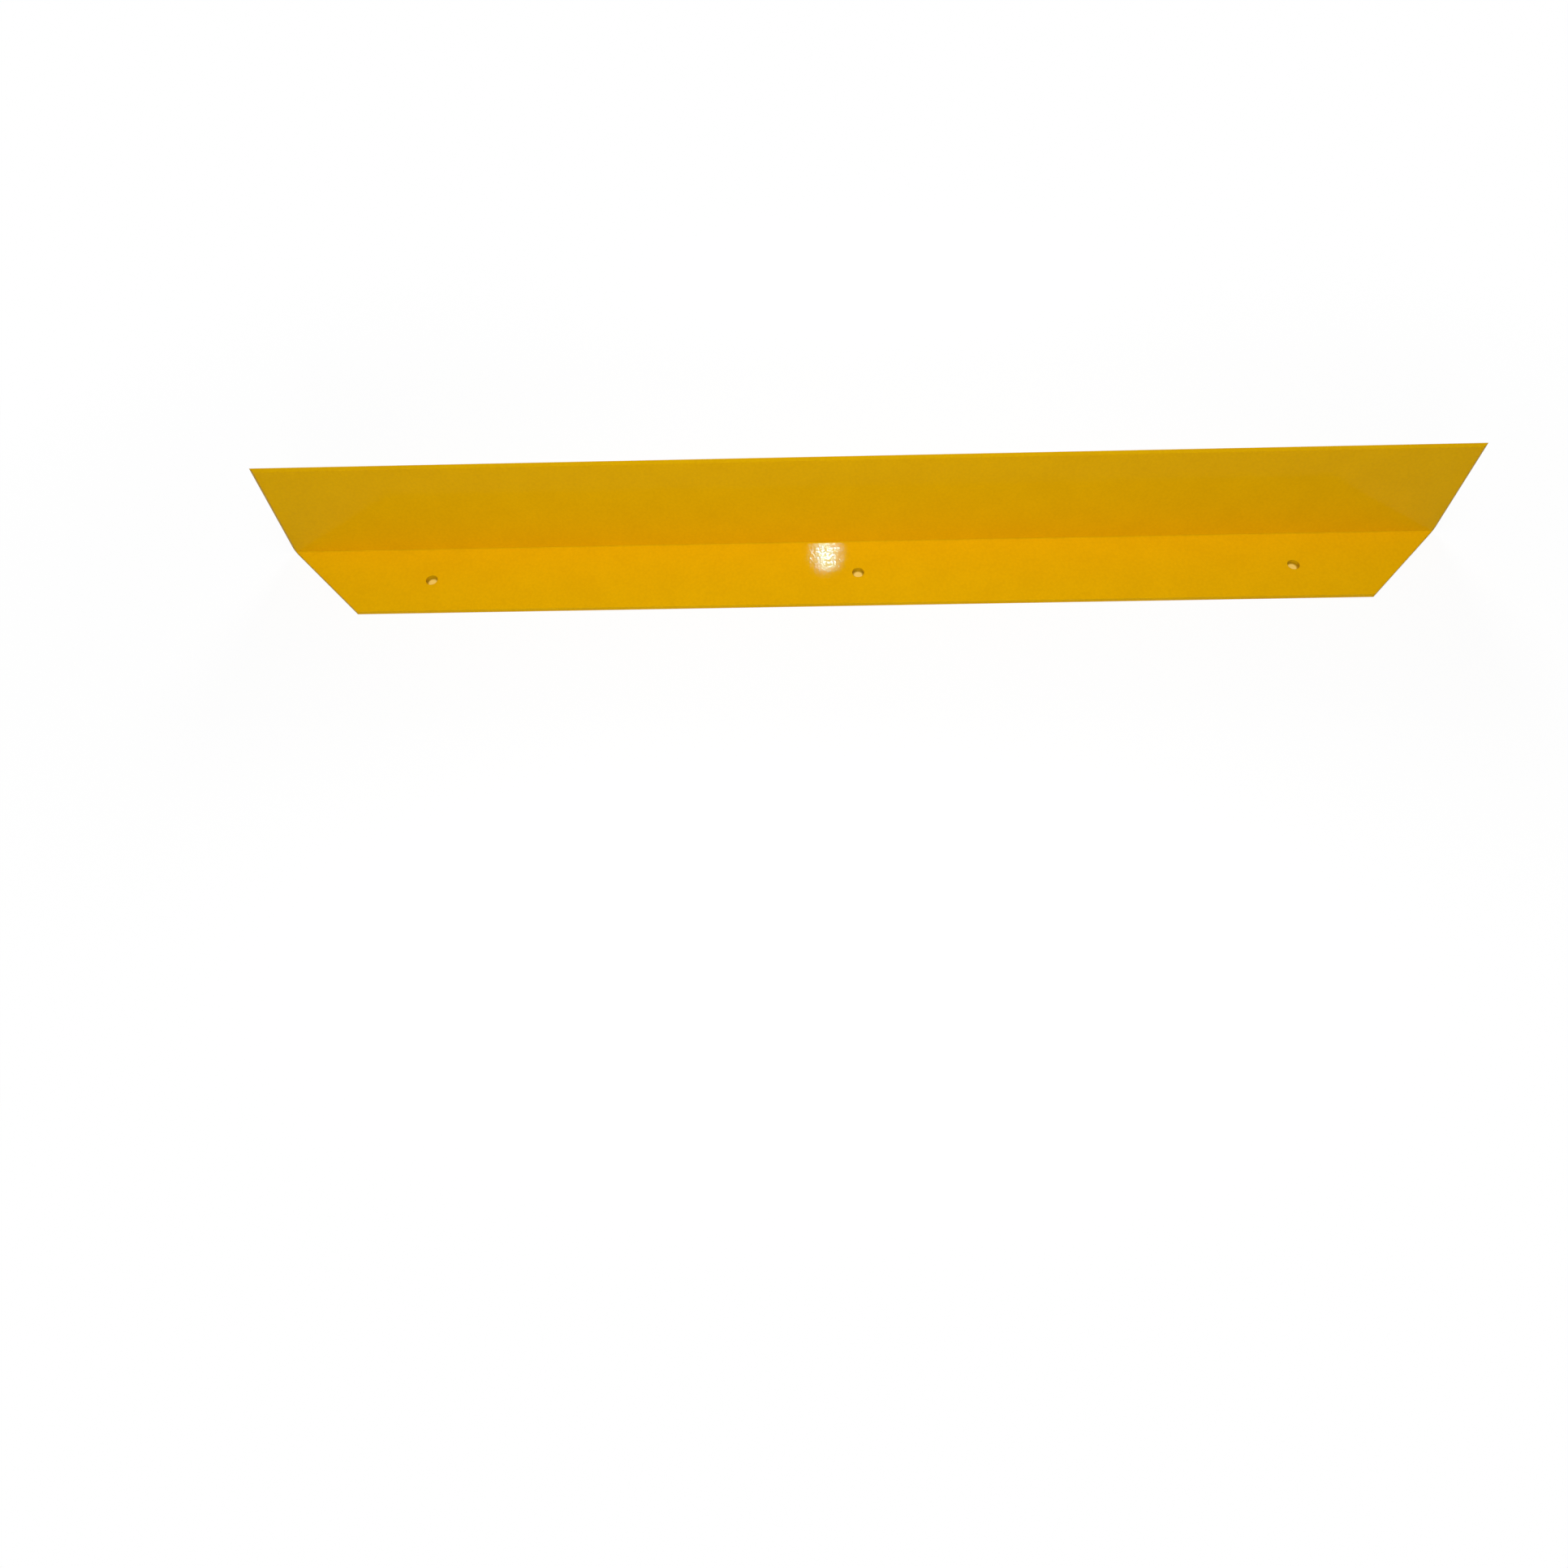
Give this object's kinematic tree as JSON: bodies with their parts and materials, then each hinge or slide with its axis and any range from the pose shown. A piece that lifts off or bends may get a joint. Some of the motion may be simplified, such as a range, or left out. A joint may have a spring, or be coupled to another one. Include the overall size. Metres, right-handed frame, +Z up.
{
  "type": "steel angle kerb guard",
  "caption": "Folded steel angle kerb guard: upright leg behind a drilled floor leg, mitred ends, yellow powder coat.",
  "frame": {"origin": "centre of the footprint, on the floor that the guard stands on", "axes": "+X along the guard, +Y from the floor leg towards the upright leg's outer face, +Z up"},
  "size_m": [1.4, 0.1, 0.15],
  "materials": {
    "powder_coat": "gloss"
  },
  "bodies": {
    "root": {"kerb_angle": "powder_coat"}
  },
  "joints": []
}
